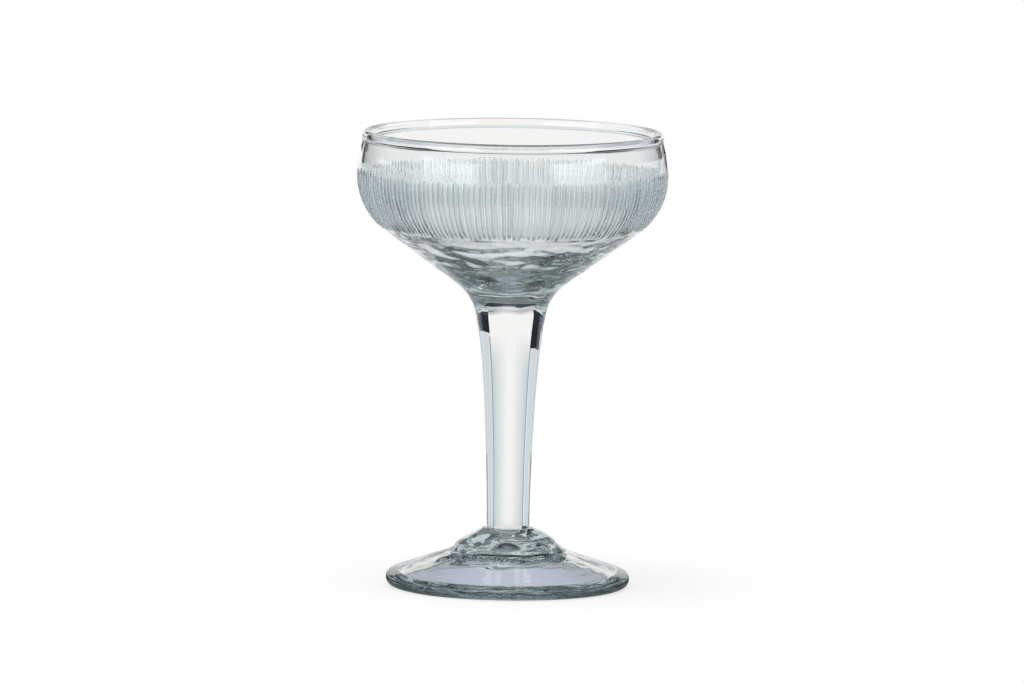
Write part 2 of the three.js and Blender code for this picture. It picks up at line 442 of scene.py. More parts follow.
class Nodes:
    """A node tree in the making"""

    def __init__(self, tree):
        self.tree = tree

    def node(self, kind, inputs=(), **settings):
        node = self.tree.nodes.new(kind)
        for title, value in settings.items():
            setattr(node, title, value)
        for key, value in dict(inputs).items():
            self.put(node.inputs[key], value)
        return node

    def put(self, socket, value):
        if isinstance(value, bpy.types.NodeSocket):
            self.tree.links.new(value, socket)
        else:
            socket.default_value = value

    def fill(self, name, inputs):
        """Sets inputs of a node that is there already"""
        for key, value in inputs.items():
            self.put(self.tree.nodes[name].inputs[key], value)

    def maths(self, operation, *values):
        return self.node("ShaderNodeMath", enumerate(values), operation=operation).outputs[0]

    def vector(self, operation, *values, scale=None):
        inputs = dict(enumerate(values))
        if scale is not None:
            inputs["Scale"] = scale
        return self.node("ShaderNodeVectorMath", inputs, operation=operation).outputs[0]

    def length(self, vector):
        return self.node("ShaderNodeVectorMath", {0: vector}, operation="LENGTH").outputs["Value"]

    def split(self, vector):
        return self.node("ShaderNodeSeparateXYZ", {0: vector}).outputs

    def join(self, *values):
        return self.node("ShaderNodeCombineXYZ", enumerate(values)).outputs[0]

    def turn_about_axis(self, vector, angle):
        inputs = {"Vector": vector, "Angle": angle}
        return self.node("ShaderNodeVectorRotate", inputs, rotation_type="Z_AXIS").outputs[0]

    def fade(self, value, start, end, low=0.0, high=1.0, kind="SMOOTHSTEP"):
        """Runs from low to high while the value runs from start to end"""
        inputs = {"Value": value, "From Min": start, "From Max": end, "To Min": low, "To Max": high}
        return self.node("ShaderNodeMapRange", inputs, interpolation_type=kind).outputs[0]

    def mix(self, amount, first, second):
        """A colour between two others"""
        node = self.node("ShaderNodeMix", {"Factor": amount}, data_type="RGBA")
        shades = [socket for socket in node.inputs if socket.type == "RGBA"]
        self.put(shades[0], first)
        self.put(shades[1], second)
        return next(socket for socket in node.outputs if socket.type == "RGBA")

    def place(self):
        return self.node("ShaderNodeTexCoord").outputs["Object"]

    def bump(self, height, strength, distance):
        inputs = {"Height": height, "Strength": strength, "Distance": distance}
        return self.node("ShaderNodeBump", inputs).outputs[0]

    def seen_in_glass(self, rays):
        """Whether a ray comes from a reflection or through glass"""
        return self.maths("MAXIMUM", rays["Is Glossy Ray"], rays["Is Transmission Ray"])


class Tree(Nodes):
    """A Geometry Nodes tree in the making"""

    def __init__(self, name, inputs):
        super().__init__(bpy.data.node_groups.new(name, "GeometryNodeTree"))
        face = self.tree.interface
        face.new_socket("Geometry", in_out="INPUT", socket_type="NodeSocketGeometry")
        for title, kind in inputs:
            face.new_socket(title, in_out="INPUT", socket_type="NodeSocket" + kind)
        face.new_socket("Geometry", in_out="OUTPUT", socket_type="NodeSocketGeometry")
        self.given = self.tree.nodes.new("NodeGroupInput").outputs
        self.result = self.tree.nodes.new("NodeGroupOutput").inputs[0]

    def geometry(self, kind, geometry, inputs=(), **settings):
        return self.node(kind, {"Geometry": geometry, **dict(inputs)}, **settings).outputs[0]

    def attribute(self, name, kind):
        return self.node("GeometryNodeInputNamedAttribute", {"Name": name}, data_type=kind).outputs[0]

    def chance(self, seed, key):
        """A random share that is the same for all points with one key"""
        inputs = {"ID": key, "Seed": seed}
        return self.node("FunctionNodeRandomValue", inputs, data_type="FLOAT").outputs[1]

    def between(self, share, least, most):
        return self.maths("MULTIPLY_ADD", share, most - least, least)

    def noise(self, vector, seed, detail):
        inputs = {"Vector": vector, "W": seed, "Scale": 1.0, "Detail": detail}
        node = self.node("ShaderNodeTexNoise", inputs, noise_dimensions="4D")
        return self.maths("SUBTRACT", node.outputs[0], 0.5)


def ripple_tree():
    """Works ripples into a turned piece, as deep as its ripple attribute says"""
    tree = Tree(
        "Hand-worked surface",
        (
            ("Ripple Width", "Float"),
            ("Ripple Height", "Float"),
            ("Ripple Detail", "Float"),
            ("Swirl", "Float"),
            ("Wobble", "Float"),
            ("Wobble Size", "Float"),
            ("Weld Height", "Float"),
            ("Weld Wave", "Float"),
            ("Seed", "Float"),
            ("Clear Glass", "Material"),
        ),
    )
    given = tree.given
    position = tree.node("GeometryNodeInputPosition").outputs[0]
    normal = tree.node("GeometryNodeInputNormal").outputs[0]
    height = tree.split(position)["Z"]
    level = tree.vector("MULTIPLY", position, (1.0, 1.0, 0.0))
    along = tree.maths("SUBTRACT", height, tree.length(level))
    twist = tree.maths("MULTIPLY", along, tree.maths("MULTIPLY", given["Swirl"], 2 * math.pi))
    cell = tree.join(given["Ripple Width"], given["Ripple Width"], given["Ripple Height"])
    cells = tree.vector("DIVIDE", tree.turn_about_axis(position, twist), cell)
    cells = tree.vector("SCALE", cells, scale=tree.attribute("fineness", "FLOAT"))
    ripple = tree.noise(cells, given["Seed"], given["Ripple Detail"])
    # The noise reaches half to either side, so it takes twice the depth.
    depth = tree.maths("MULTIPLY", tree.attribute("ripple", "FLOAT"), 2.0)
    slow = tree.maths("DIVIDE", 1.0, given["Wobble Size"])
    wobble = tree.noise(tree.vector("SCALE", position, scale=slow), given["Seed"], 0.0)
    free = tree.maths("GREATER_THAN", depth, 0.0)
    swell = tree.maths("MULTIPLY", wobble, tree.maths("MULTIPLY", given["Wobble"], free))
    out = tree.maths("ADD", tree.maths("MULTIPLY", ripple, depth), swell)
    away = tree.maths("ABSOLUTE", tree.maths("SUBTRACT", height, given["Weld Height"]))
    near = tree.fade(away, WELD_REACH, 0.0)
    wave = tree.noise(tree.vector("SCALE", level, scale=WELD_WAVES), WELD_SEED, 0.0)
    lift = tree.maths("MULTIPLY", tree.maths("MULTIPLY", wave, near), given["Weld Wave"])
    offset = tree.vector("ADD", tree.vector("SCALE", normal, scale=out), tree.join(0.0, 0.0, lift))
    moved = tree.geometry("GeometryNodeSetPosition", given["Geometry"], {"Offset": offset})
    solid = tree.geometry("GeometryNodeRealizeInstances", moved)
    inputs = {"Material": given["Clear Glass"]}
    tree.put(tree.result, tree.geometry("GeometryNodeSetMaterial", solid, inputs))
    return tree.tree


def etch_tree():
    """Cuts upright strokes with ragged ends into the columns that carry a stroke number"""
    tree = Tree(
        "Etched strokes",
        (
            ("Band Bottom", "Float"),
            ("Band Top", "Float"),
            ("Depth", "Float"),
            ("Ragged Ends", "Float"),
            ("Fade", "Float"),
            ("Taper", "Float"),
            ("Lean", "Float"),
            ("Seed", "Int"),
            ("Etched Glass", "Material"),
        ),
    )
    given = tree.given
    position = tree.node("GeometryNodeInputPosition").outputs[0]
    normal = tree.node("GeometryNodeInputNormal").outputs[0]
    height = tree.split(position)["Z"]
    stroke = tree.attribute("stroke", "INT")
    across = tree.attribute("across", "FLOAT")
    seeds = [tree.maths("ADD", given["Seed"], float(step)) for step in range(5)]
    high, low, deep, lean, tone = (tree.chance(seed, stroke) for seed in seeds)
    top = tree.maths("SUBTRACT", given["Band Top"], tree.maths("MULTIPLY", high, given["Ragged Ends"]))
    bottom = tree.maths("ADD", given["Band Bottom"], tree.maths("MULTIPLY", low, given["Ragged Ends"]))
    rise = tree.fade(height, bottom, tree.maths("ADD", bottom, given["Fade"]))
    fall = tree.fade(height, top, tree.maths("SUBTRACT", top, given["Fade"]))
    within = tree.maths("MULTIPLY", rise, fall)
    own_depth = tree.maths("MULTIPLY", tree.between(deep, *DEPTH_RANGE), given["Depth"])
    depth = tree.maths("MULTIPLY", tree.maths("MULTIPLY", across, within), own_depth)
    cut = tree.vector("SUBTRACT", position, tree.vector("SCALE", normal, scale=depth))
    path = tree.vector("MULTIPLY", tree.join(stroke, 0.0, height), WANDER)
    wander = tree.noise(path, WANDER_SEED, 1.0)
    wander = tree.maths("ADD", wander, tree.between(lean, *LEAN_RANGE))
    aside = tree.maths("MULTIPLY", tree.maths("MULTIPLY", wander, within), given["Lean"])
    leant = tree.turn_about_axis(cut, aside)
    moved = tree.geometry("GeometryNodeSetPosition", given["Geometry"], {"Position": leant})
    # Paleness is the stroke's random tone times its place across the cut, so the colour darkens towards the
    # cut's edges: painted shade along the creases.
    pale = tree.maths("MULTIPLY", tree.between(tone, *TONE_RANGE), across)
    inputs = {"Name": "frost", "Value": pale}
    toned = tree.geometry("GeometryNodeStoreNamedAttribute", moved, inputs, domain="POINT")
    solid = tree.geometry("GeometryNodeRealizeInstances", toned)
    groove = tree.attribute("groove", "INT")
    short = tree.maths("MULTIPLY", tree.maths("SUBTRACT", 2.0, groove), given["Taper"])
    above = tree.maths("GREATER_THAN", height, tree.maths("ADD", bottom, short))
    below = tree.maths("LESS_THAN", height, tree.maths("SUBTRACT", top, short))
    inside = tree.maths("MULTIPLY", above, below)
    chosen = tree.maths("MULTIPLY", inside, tree.maths("GREATER_THAN", groove, 0.5))
    inputs = {"Selection": chosen, "Material": given["Etched Glass"]}
    tree.put(tree.result, tree.geometry("GeometryNodeSetMaterial", solid, inputs))
    return tree.tree


def work(piece, tree, values):
    """Runs a tree on a piece and keeps the result as its plain mesh"""
    modifier = piece.modifiers.new(tree.name, "NODES")
    modifier.node_group = tree
    for item in tree.interface.items_tree:
        if item.item_type == "SOCKET" and item.in_out == "INPUT" and item.name in values:
            modifier[item.identifier] = values[item.name]
    bpy.context.view_layer.update()
    graph = bpy.context.evaluated_depsgraph_get()
    mesh = bpy.data.meshes.new_from_object(piece.evaluated_get(graph), depsgraph=graph)
    piece.modifiers.remove(modifier)
    old = piece.data
    piece.data = mesh
    name = old.name
    bpy.data.meshes.remove(old)
    mesh.name = name


def finish_piece(piece, node):
    """Settles a piece's shading and ties it to the frame"""
    mesh = piece.data
    for title in ("ripple", "fineness", "across", "stroke", "groove"):
        mesh.attributes.remove(mesh.attributes[title])
    mesh.set_sharp_from_angle(angle=SHARP_FOLD)
    if len(mesh.polygons) == 0:
        raise RuntimeError(f"{piece.name} came out empty")
    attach(piece, BODY)
    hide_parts(node)


# Materials

EVEN_MIDDLE = 0.1  # share of the white card's half angle that stays white
SHADOW_START = 0.05  # distance from the axis at which the shadow on the floor starts to run out
SHADOW_END = 0.11  # and at which it has gone
SHADOW_PLAIN = 0.7  # share of plain white that the camera sees where the shadow is fullest


def new_material(name):
    material = bpy.data.materials.new(name)
    material.use_nodes = True
    return material, Nodes(material.node_tree)


def clear_glass(name, glass, surface, thick_tint=0.0):
    """Clear hand-worked glass with faint cords, the streaks of glass that melted unevenly"""
    material, nodes = new_material(name)
    scale = (1 / CORD_WIDTH, 1 / CORD_WIDTH, 1 / surface.cord_height)
    streaks = nodes.node("ShaderNodeMapping", {"Vector": nodes.place(), "Scale": scale}).outputs[0]
    cords = nodes.node("ShaderNodeTexNoise", {"Vector": streaks, "Scale": 1.0, "Detail": 2.0}).outputs[0]
    finish = {
        "Base Color": opaque(glass.tint),
        "Transmission Weight": 1.0,
        "Roughness": 0.0,
        "IOR": glass.ior,
        "Normal": nodes.bump(cords, surface.cords, CORD_DEPTH),
    }
    nodes.fill("Principled BSDF", finish)
    if thick_tint > 0:
        inputs = {"Color": opaque(glass.thick), "Density": thick_tint}
        volume = nodes.node("ShaderNodeVolumeAbsorption", inputs).outputs[0]
        nodes.fill("Material Output", {"Volume": volume})
    return material


def tint_bottom(material, glass):
    """Gives the thick bottom of the bowl more colour than its thin wall"""
    nodes = Nodes(material.node_tree)
    height = nodes.split(nodes.place())["Z"]
    thin = nodes.fade(height, glass.bottom_low, glass.bottom_high, kind="LINEAR")
    tint = nodes.mix(thin, opaque(glass.bottom_tint), opaque(glass.tint))
    nodes.fill("Principled BSDF", {"Base Color": tint})


def etched_glass(glass):
    """Frosted floor of an etched stroke"""
    material, nodes = new_material("etched_strokes")
    inputs = {"Vector": nodes.place(), "Scale": 1 / FROST_GRAIN, "Detail": 3.0}
    grain = nodes.node("ShaderNodeTexNoise", inputs).outputs[0]
    frost = nodes.node("ShaderNodeAttribute", attribute_name="frost").outputs["Fac"]
    least = glass.frost_roughness - glass.frost_range
    most = glass.frost_roughness + glass.frost_range
    rough = nodes.fade(nodes.maths("ADD", frost, grain), 0.0, PALEST_GRAIN, least, most, kind="LINEAR")
    frosted = nodes.maths("LESS_THAN", frost, 1.0 - glass.polished)
    finish = {
        # Dark at the sides of each cut and in low-toned strokes, palest mid cut: random tone plus painted
        # shade along the cut's edges.
        "Base Color": nodes.mix(frost, opaque(glass.frost_dark_tone_and_shade), opaque(glass.frost)),
        "Transmission Weight": glass.frost_clearness,
        "IOR": glass.ior,
        "Roughness": nodes.maths("MULTIPLY", rough, frosted),
        "Normal": nodes.bump(grain, FROST_STRENGTH, FROST_DEPTH),
    }
    nodes.fill("Principled BSDF", finish)
    return material


def glow(name, shade, strength=1.0):
    """A card that shows one even shade"""
    material, nodes = new_material(name)
    nodes.tree.nodes.remove(nodes.tree.nodes["Principled BSDF"])
    light = nodes.node("ShaderNodeEmission", {"Color": opaque(shade), "Strength": strength})
    nodes.fill("Material Output", {"Surface": light.outputs[0]})
    return material


def card_white(stage):
    """White card that shades off towards its two upright edges, except in its upper part"""
    material = glow("card_white", stage.white)
    nodes = Nodes(material.node_tree)
    place = nodes.split(nodes.place())
    aside = nodes.maths("ABSOLUTE", nodes.maths("ARCTAN2", place["X"], place["Y"]))
    outer = nodes.fade(aside, EVEN_MIDDLE * stage.card_angle, stage.card_angle, kind="LINEAR")
    lower = nodes.fade(place["Z"], stage.even_above, stage.shaded_below)
    shaded = nodes.maths("MULTIPLY", outer, lower)
    shade = nodes.mix(shaded, opaque(stage.white), opaque(stage.white_edge))
    nodes.fill("Emission", {"Color": shade})
    return material


def shade_near(material, stage):
    """Shades a card where it lies close to the foot"""
    nodes = Nodes(material.node_tree)
    away = nodes.length(nodes.place())
    light = nodes.fade(away, stage.shade_start, stage.shade_end, low=stage.near_light)
    nodes.fill("Emission", {"Strength": light})


def floor_material(stage):
    """Pale floor that keeps the shadow near the glass and runs out to plain white"""
    material, nodes = new_material("pale_floor")
    finish = {"Base Color": opaque(stage.floor), "Roughness": 1.0, "Specular IOR Level": 0.0}
    nodes.fill("Principled BSDF", finish)
    rays = nodes.node("ShaderNodeLightPath").outputs
    away = nodes.length(nodes.place())
    plain = nodes.fade(away, SHADOW_START, SHADOW_END, low=SHADOW_PLAIN)
    shown = nodes.maths("MULTIPLY", rays["Is Camera Ray"], plain)
    amount = nodes.maths("MAXIMUM", nodes.seen_in_glass(rays), shown)
    shaded = nodes.tree.nodes["Principled BSDF"].outputs[0]
    white = nodes.node("ShaderNodeEmission").outputs[0]
    surface = nodes.node("ShaderNodeMixShader", {0: amount, 1: shaded, 2: white}).outputs[0]
    nodes.fill("Material Output", {"Surface": surface})
    return material


# Pieces


def tree_named(name, make):
    return bpy.data.node_groups.get(name) or make()


def hand_work(piece, material, surface, weld=(0.0, 0.0), swirl=0.0):
    """Leaves ripples in a piece and waves in its weld, given by its height and their depth"""
    work(
        piece,
        tree_named("Hand-worked surface", ripple_tree),
        {
            "Ripple Width": surface.width,
            "Ripple Height": surface.height,
            "Ripple Detail": surface.detail,
            "Swirl": swirl,
            "Wobble": surface.wobble,
            "Wobble Size": WOBBLE_SIZE,
            "Weld Height": weld[0],
            "Weld Wave": weld[1],
            "Seed": surface.seed,
            "Clear Glass": material,
        },
    )


def bowl_shape(bowl):
    """Points that the outlines of the bowl and its collar share"""
    nose = np.array((0.0, bowl.bottom + bowl.nose_radius))
    flank = nose + bowl.nose_radius * heading(bowl.flank_slope - math.pi / 2)
    reach = bowl.diameter / 2 - bowl.shoulder_radius
    end_radius = reach + bowl.shoulder_radius * math.sin(bowl.flank_slope)
    end_height = flank[1] + (end_radius - flank[0]) * math.tan(bowl.flank_slope)
    shoulder = np.array((reach, end_height + bowl.shoulder_radius * math.cos(bowl.flank_slope)))
    return nose, flank, np.array((end_radius, end_height)), shoulder


def seat_points(bowl, collar, lift, steps):
    """The dished weld between the bowl and the collar, from the axis out to the collar's lip"""
    nose, _, _, _ = bowl_shape(bowl)
    lip = math.asin(collar.diameter / 2 / bowl.nose_radius)
    points = arc(nose, bowl.nose_radius, -math.pi / 2, lip - math.pi / 2, steps)
    points[0, 0] = 0.0
    return points + (0.0, lift)


def bowl_outline(bowl, collar, etch):
    nose, flank, flank_end, shoulder = bowl_shape(bowl)
    belly = np.array((bowl.diameter / 2, shoulder[1]))
    inner_belly = belly - (bowl.wall, 0.0)
    bead_radius = (bowl.wall + bowl.bead_swell) / 2
    bead = np.array((bowl.rim_diameter / 2 - bead_radius, bowl.rim_top - bead_radius))
    outside = bead_radius - bowl.bead_overhang
    inside = outside - bowl.wall
    bead_start = -math.acos(outside / bead_radius)
    bead_end = 2 * math.pi - math.acos(inside / bead_radius)
    rim = arc(bead, bead_radius, bead_start, bead_end, steps=24)
    lip_middle = (belly[1] + bead[1]) / 2
    inner_radius = bowl.shoulder_radius - bowl.wall
    inner_flank = shoulder + inner_radius * heading(bowl.inner_slope - math.pi / 2)
    floor = np.array((0.0, bowl.bottom + bowl.floor))
    pull = (inner_flank[0] - (inner_flank[1] - floor[1]) / math.tan(bowl.inner_slope), floor[1])
    fine_start = math.asin((etch.bottom - BAND_MARGIN - shoulder[1]) / bowl.shoulder_radius)

    seat = seat_points(bowl, collar, -WELD_OVERLAP, steps=12)
    outline = Outline()
    outline.add(seat, weld=True)
    outline.add(line(seat[-1], flank, steps=2), bowl.flank_ripple)
    outline.add(line(flank, flank_end, steps=26), bowl.flank_ripple)
    low = bowl.flank_slope - math.pi / 2
    outline.add(arc(shoulder, bowl.shoulder_radius, low, fine_start, steps=3), bowl.flank_ripple)
    outline.add(arc(shoulder, bowl.shoulder_radius, fine_start, 0.0, steps=33), bowl.wall_ripple, fine=True)
    lip = bend(belly, (belly[0], lip_middle), rim[0], steps=18)
    below = lip[:, 1] < etch.top + BAND_MARGIN
    outline.add(lip[below], bowl.wall_ripple, fine=True)
    outline.add(lip[~below], bowl.wall_ripple)
    outline.add(rim, bowl.wall_ripple)
    outline.add(bend(rim[-1], (inner_belly[0], lip_middle), inner_belly, steps=12), bowl.wall_ripple)
    high = bowl.inner_slope - math.pi / 2
    outline.add(arc(shoulder, inner_radius, 0.0, high, steps=18), bowl.wall_ripple)
    dish = bend(inner_flank, pull, floor, steps=56)
    rippled = smooth(np.linspace(0.0, 1.0, len(dish)) / bowl.ripple_start)
    outline.add(dish, bowl.wall_ripple + (bowl.floor_ripple - bowl.wall_ripple) * rippled)
    return outline


def collar_outline(bowl, collar, stem):
    foot = np.array((stem.head_diameter / 2, stem.head))
    seat = seat_points(bowl, collar, WELD_OVERLAP, steps=12)
    lip = seat[-1]
    foot_pull = foot + collar.sweep * heading(stem.flare_slope)
    lip_pull = lip - collar.sweep * heading(collar.lip_slope)
    low = foot - (0.0, WELD_OVERLAP)
    outline = Outline()
    outline.add(line((0.0, low[1]), low, steps=8), weld=True)
    outline.add(sweep(low, foot_pull, lip_pull, lip, steps=26), collar.ripple)
    outline.add(seat[::-1], weld=True)
    return outline


def stem_outline(stem):
    foot = np.array((stem.foot_diameter / 2, stem.foot - WELD_OVERLAP))
    head = np.array((stem.head_diameter / 2, stem.head + WELD_OVERLAP))
    foot_pull = foot + (0.0, stem.taper)
    head_pull = head - stem.flare * heading(stem.flare_slope)
    outline = Outline()
    outline.add(line((0.0, foot[1]), foot, steps=6), weld=True)
    outline.add(sweep(foot, foot_pull, head_pull, head, steps=110), stem.ripple)
    outline.add(line(head, (0.0, head[1]), steps=8), weld=True)
    return outline


def button_outline(button, stem, foot):
    seat = foot.height - WELD_OVERLAP
    edge = np.array((button.diameter / 2, seat))
    top = np.array((stem.foot_diameter / 2 + button.ledge, stem.foot))
    side = top - edge
    outward = np.array((side[1], -side[0])) / np.hypot(*side)
    pull = (edge + top) / 2 + 2 * button.swell * outward
    weld = np.array((stem.foot_diameter / 2, stem.foot + WELD_OVERLAP))
    outline = Outline()
    outline.add(line((0.0, seat), edge, steps=8), weld=True)
    outline.add(bend(edge, pull, top, steps=36), button.ripple)
    outline.add(line(top, weld, steps=3), button.ripple)
    outline.add(line(weld, (0.0, weld[1]), steps=4), weld=True)
    return outline


def foot_outline(foot, button):
    edge_radius = foot.edge / 2
    edge = np.array((foot.diameter / 2 - edge_radius, edge_radius))
    seat = np.array((button.diameter / 2, foot.height + WELD_OVERLAP))
    rest = np.array((edge[0] - foot.rest_ring, 0.0))
    ceiling = np.array((0.0, foot.height - foot.crown))
    corner = np.array((rest[0] - ceiling[1] / math.tan(foot.hollow_slope), ceiling[1]))
    slant = corner + foot.hollow_round * heading(-foot.hollow_slope)
    to_seat = seat - edge
    tangent = math.atan2(to_seat[1], to_seat[0]) - math.acos(edge_radius / np.hypot(*to_seat))
    round_edge = arc(edge, edge_radius, -math.pi / 2, tangent, steps=20)
    outline = Outline()
    outline.add(line(ceiling, corner - (foot.hollow_round, 0.0), steps=20), foot.mark, fineness=2.0)
    outline.add(bend(corner - (foot.hollow_round, 0.0), corner, slant, steps=10), foot.ripple)
    outline.add(line(slant, rest, steps=24), foot.ripple)
    outline.add(line(rest, round_edge[0], steps=3))
    outline.add(round_edge, foot.edge_ripple)
    outline.add(line(round_edge[-1], seat, steps=44), foot.ripple)
    outline.add(line(seat, (0.0, seat[1]), steps=8), weld=True)
    return outline


class COUPE_OT_bowl(bpy.types.Operator):
    """Blow the bowl and etch its band"""

    bl_idname = "coupe.bowl"
    bl_label = "Bowl"

    def execute(self, context):
        coupe = context.scene.coupe
        piece = turn("coupe_bowl", bowl_outline(coupe.bowl, coupe.collar, coupe.etch))
        material = clear_glass("bowl_clear_glass", coupe.glass, BOWL_SURFACE)
        tint_bottom(material, coupe.glass)
        hand_work(piece, material, BOWL_SURFACE)
        etch = coupe.etch
        work(
            piece,
            tree_named("Etched strokes", etch_tree),
            {
                "Band Bottom": etch.bottom,
                "Band Top": etch.top,
                "Depth": etch.depth,
                "Ragged Ends": etch.ragged,
                "Fade": etch.fade,
                "Taper": etch.taper,
                "Lean": etch.lean,
                "Seed": etch.seed,
                "Etched Glass": etched_glass(coupe.glass),
            },
        )
        finish_piece(piece, "bowl")
        return {"FINISHED"}


class COUPE_OT_collar(bpy.types.Operator):
    """Press the collar under the bowl"""

    bl_idname = "coupe.collar"
    bl_label = "Collar"

    def execute(self, context):
        coupe = context.scene.coupe
        piece = turn("coupe_collar", collar_outline(coupe.bowl, coupe.collar, coupe.stem))
        material = clear_glass("collar_clear_glass", coupe.glass, COLLAR_SURFACE, coupe.glass.thick_collar)
        hand_work(piece, material, COLLAR_SURFACE, (coupe.stem.head, coupe.stem.weld_wave))
        finish_piece(piece, "bowl_collar")
        return {"FINISHED"}


class COUPE_OT_stem(bpy.types.Operator):
    """Draw the stem"""

    bl_idname = "coupe.stem"
    bl_label = "Stem"

    def execute(self, context):
        coupe = context.scene.coupe
        piece = turn("coupe_stem", stem_outline(coupe.stem))
        material = clear_glass("stem_clear_glass", coupe.glass, STEM_SURFACE)
        hand_work(piece, material, STEM_SURFACE, (coupe.stem.head, coupe.stem.weld_wave))
        finish_piece(piece, "stem")
        return {"FINISHED"}


class COUPE_OT_button(bpy.types.Operator):
    """Twist the button between the stem and the foot"""

    bl_idname = "coupe.button"
    bl_label = "Button"

    def execute(self, context):
        coupe = context.scene.coupe
        piece = turn("coupe_button", button_outline(coupe.button, coupe.stem, coupe.foot))
        material = clear_glass("button_clear_glass", coupe.glass, BUTTON_SURFACE, coupe.glass.thick_button)
        weld = (coupe.foot.height, coupe.foot.weld_wave)
        hand_work(piece, material, BUTTON_SURFACE, weld, coupe.button.swirl)
        finish_piece(piece, "foot_button")
        return {"FINISHED"}


class COUPE_OT_foot(bpy.types.Operator):
    """Spin out the foot"""

    bl_idname = "coupe.foot"
    bl_label = "Foot"

    def execute(self, context):
        coupe = context.scene.coupe
        piece = turn("coupe_foot", foot_outline(coupe.foot, coupe.button))
        material = clear_glass("foot_clear_glass", coupe.glass, FOOT_SURFACE, coupe.glass.thick_foot)
        hand_work(piece, material, FOOT_SURFACE, (coupe.foot.height, coupe.foot.weld_wave))
        finish_piece(piece, "foot")
        return {"FINISHED"}


# Stage

SENSOR_WIDTH = 36.0  # millimetres
VIEW_END = 50.0
FLOOR_REACH = 6.0
FLOOR_HEIGHT = -0.0001  # just under the foot
SHEET_HEIGHT = -0.00005  # of the cards that lie on the floor
LAMP_SIZE = 1.2
LAMP_POWER = 11.0
LAMP_PLACE = (-0.3, -0.3, 1.6)
ROOM_LIGHT = (0.80, 0.80, 0.80)
PLAIN_WHITE = (1.0, 1.0, 1.0)

# Shades of the room as glass shows them, by the sine of the angle above the horizon
SKY = (
    (0.2, (0.94, 0.94, 0.93)),
    (0.36, (0.33, 0.35, 0.37)),
    (0.56, (0.08, 0.088, 0.092)),
    (0.72, (0.02, 0.023, 0.025)),
    (0.84, (0.07, 0.078, 0.082)),
    (0.98, (0.22, 0.235, 0.245)),
)


def aim_camera(stage):
    lens = bpy.data.cameras.new("camera")
    lens.lens = stage.focal
    lens.sensor_width = SENSOR_WIDTH
    lens.clip_end = VIEW_END
    camera = bpy.data.objects.new("camera", lens)
    bpy.context.scene.collection.objects.link(camera)
    back = Vector((0.0, -math.cos(stage.elevation), math.sin(stage.elevation)))
    place = Vector((stage.aim_x, 0.0, stage.aim_z)) + stage.distance * back
    look = back.to_track_quat("Z", "Y").to_matrix().to_4x4()
    camera.matrix_world = Matrix.Translation(place) @ look @ Matrix.Rotation(stage.roll, 4, "Z")
    bpy.context.scene.camera = camera
    return camera


def add_mesh(name, places, faces, material):
    mesh = bpy.data.meshes.new(name)
    mesh.from_pydata(places, [], faces)
    mesh.materials.append(material)
    thing = bpy.data.objects.new(name, mesh)
    bpy.context.scene.collection.objects.link(thing)
    return thing


def add_card(name, places, faces, material, turntable):
    """A card of the set, which only glass and its reflections see"""
    card = add_mesh(name, places, faces, material)
    card.parent = turntable
    card.visible_camera = False
    card.visible_diffuse = False
    card.visible_shadow = False
    return card


def sector(radius_in, radius_out, start, end, steps=24):
    """A ring sector on the floor, its angles in degrees from straight behind the glass"""
    turns = np.radians(np.linspace(start, end, steps + 1))
    radii = (radius_in, radius_out)
    rim = [(r * math.sin(t), r * math.cos(t), SHEET_HEIGHT) for t in turns for r in radii]
    return rim, [(2 * i, 2 * i + 1, 2 * i + 3, 2 * i + 2) for i in range(steps)]


def wall(radius, start, end, low, high, steps=24):
    """An upright curved wall, its angles as above, with low and high a height or one for each end"""
    turns = np.radians(np.linspace(start, end, steps + 1))
    lows = np.linspace(*(low if isinstance(low, tuple) else (low, low)), steps + 1)
    highs = np.linspace(*(high if isinstance(high, tuple) else (high, high)), steps + 1)
    edges = zip(turns, lows, highs)
    rim = [(radius * math.sin(t), radius * math.cos(t), z) for t, *ends in edges for z in ends]
    return rim, [(2 * i, 2 * i + 1, 2 * i + 3, 2 * i + 2) for i in range(steps)]


def light_world():
    """An even light, plain white to the camera, that glass sees as the shades of a room"""
    world = bpy.data.worlds.new("studio")
    bpy.context.scene.world = world
    world.use_nodes = True
    nodes = Nodes(world.node_tree)
    way = nodes.node("ShaderNodeTexCoord").outputs["Generated"]
    sky = nodes.node("ShaderNodeValToRGB", {0: nodes.split(way)["Z"]})
    steps = sky.color_ramp.elements
    for position, shade in SKY:
        steps.new(position).color = opaque(shade)
    steps.remove(steps[0])
    steps.remove(steps[-1])
    rays = nodes.node("ShaderNodeLightPath").outputs
    room = nodes.mix(nodes.seen_in_glass(rays), opaque(ROOM_LIGHT), sky.outputs[0])
    nodes.fill("Background", {"Color": nodes.mix(rays["Is Camera Ray"], room, opaque(PLAIN_WHITE))})


